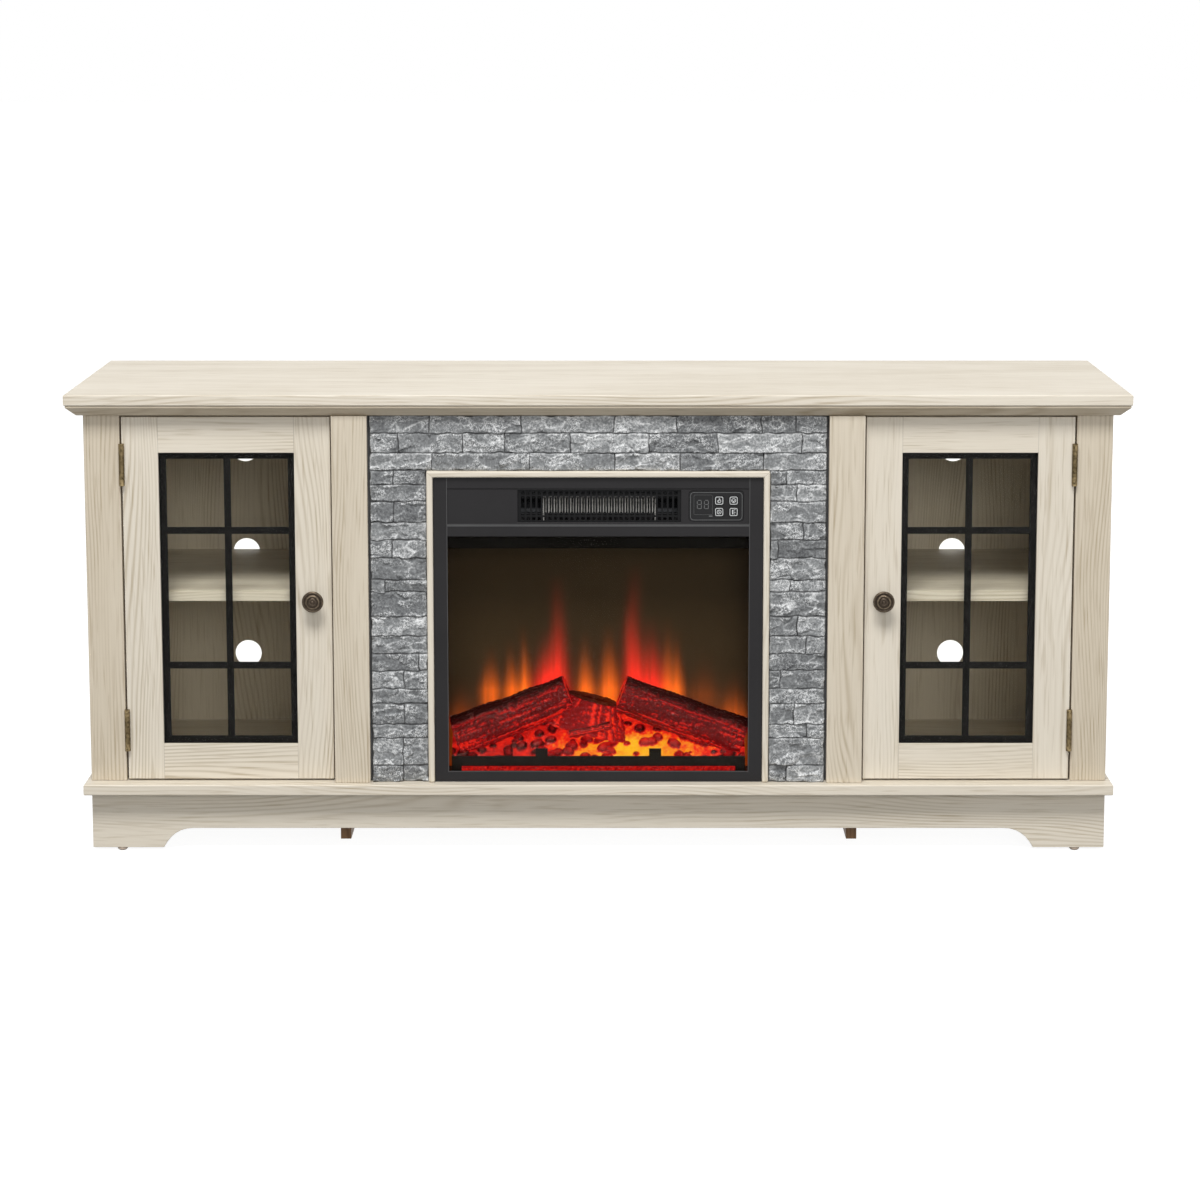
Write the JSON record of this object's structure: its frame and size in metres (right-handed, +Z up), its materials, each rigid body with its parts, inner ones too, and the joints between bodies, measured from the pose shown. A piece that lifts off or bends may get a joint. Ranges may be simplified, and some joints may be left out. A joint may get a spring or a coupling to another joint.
{
  "type": "fireplace tv stand",
  "caption": "Low oak-finish media cabinet with glazed doors either side of a stacked-stone surround and an electric fire insert with heater grille and keys.",
  "frame": {"origin": "on the floor below the middle of the top panel", "axes": "+Z up, front of the cabinet towards -Y, +X to the right seen from the front"},
  "size_m": [1.473, 0.4, 0.653],
  "materials": {
    "oak_laminate": "cream bleached oak laminate, satin",
    "brown_board": "bare brown board",
    "stacked_stone": "split-face grey stone, matt",
    "door_glass": "clear",
    "fire_glass": "lightly smoked",
    "black_grid": "satin black",
    "aged_bronze": "oil-rubbed bronze with worn rims",
    "antique_brass": "antique brass",
    "black_steel": "fine textured black powder coat",
    "heater_wire": "dull resistance wire",
    "zinc_steel": "zinc plated",
    "panel_plastic": "black, semi-gloss",
    "flame_film": "dark diffusing screen",
    "log_resin": "moulded bark, lit from below",
    "glide_plastic": "moulded",
    "circuit_board": "solder resist"
  },
  "bodies": {
    "cabinet": {"top_panel": "oak_laminate", "base_board": "oak_laminate", "crown_moulding": "oak_laminate", "plinth_front": "oak_laminate", "plinth_left": "oak_laminate", "plinth_right": "oak_laminate", "support_leg_left": "brown_board", "support_leg_right": "brown_board", "glide_front_left": "glide_plastic", "glide_front_right": "glide_plastic", "glide_rear_left": "glide_plastic", "glide_rear_right": "glide_plastic", "side_panel_left": "oak_laminate", "side_panel_right": "oak_laminate", "partition_left": "oak_laminate", "partition_right": "oak_laminate", "stile_outer_left": "oak_laminate", "stile_outer_right": "oak_laminate", "stile_inner_left": "oak_laminate", "stile_inner_right": "oak_laminate", "shelf_left": "oak_laminate", "shelf_right": "oak_laminate", "back_panel_left": "oak_laminate", "back_panel_right": "oak_laminate", "hinge_upper_left_cabinet_leaf": "antique_brass", "hinge_lower_left_cabinet_leaf": "antique_brass", "hinge_upper_right_cabinet_leaf": "antique_brass", "hinge_lower_right_cabinet_leaf": "antique_brass", "stone_surround": "stacked_stone", "insert_trim": "oak_laminate", "insert_frame": "black_steel", "insert_glass": "fire_glass", "insert_housing": "black_steel", "heater_grille": "black_steel", "heating_element": "heater_wire", "blower_motor": "zinc_steel", "control_panel": "panel_plastic", "flame_screen": "flame_film", "log_bed": "log_resin", "led_board": "circuit_board", "ember_fender": "black_steel", "spindle_motor": "zinc_steel"},
    "door_left": {"door_frame_left": "oak_laminate", "door_glass_left": "door_glass", "door_grid_left": "black_grid", "door_knob_left": "aged_bronze", "hinge_upper_left_door_leaf": "antique_brass", "hinge_lower_left_door_leaf": "antique_brass"},
    "door_right": {"door_frame_right": "oak_laminate", "door_glass_right": "door_glass", "door_grid_right": "black_grid", "door_knob_right": "aged_bronze", "hinge_upper_right_door_leaf": "antique_brass", "hinge_lower_right_door_leaf": "antique_brass"},
    "flame_key": {"key_flame": "panel_plastic"},
    "heat_key": {"key_heat": "panel_plastic"},
    "timer_key": {"key_timer": "panel_plastic"},
    "temperature_key": {"key_temperature": "panel_plastic"},
    "fan": {"blower_wheel": "zinc_steel"},
    "spindle": {"flame_spindle": "zinc_steel"}
  },
  "joints": [
    {"name": "left_door_hinge", "type": "hinge", "parent": "cabinet", "child": "door_left", "pos_m": [-0.6611, -0.1782, 0.362], "axis": [0, 0, -1], "range_deg": [0, 170]},
    {"name": "right_door_hinge", "type": "hinge", "parent": "cabinet", "child": "door_right", "pos_m": [0.6611, -0.1782, 0.362], "axis": [0, 0, 1], "range_deg": [0, 170]},
    {"name": "flame_key_press", "type": "slide", "parent": "cabinet", "child": "flame_key", "axis": [0, 1, 0], "range_m": [0, 0.0008], "stiffness_N_per_m": 400},
    {"name": "heat_key_press", "type": "slide", "parent": "cabinet", "child": "heat_key", "axis": [0, 1, 0], "range_m": [0, 0.0008], "stiffness_N_per_m": 400},
    {"name": "timer_key_press", "type": "slide", "parent": "cabinet", "child": "timer_key", "axis": [0, 1, 0], "range_m": [0, 0.0008], "stiffness_N_per_m": 400},
    {"name": "temperature_key_press", "type": "slide", "parent": "cabinet", "child": "temperature_key", "axis": [0, 1, 0], "range_m": [0, 0.0008], "stiffness_N_per_m": 400},
    {"name": "fan_spin", "type": "hinge", "parent": "cabinet", "child": "fan", "pos_m": [0, -0.125, 0.4949], "axis": [1, 0, 0], "continuous": true},
    {"name": "spindle_spin", "type": "hinge", "parent": "cabinet", "child": "spindle", "pos_m": [0, -0.07, 0.1698], "axis": [1, 0, 0], "continuous": true}
  ]
}
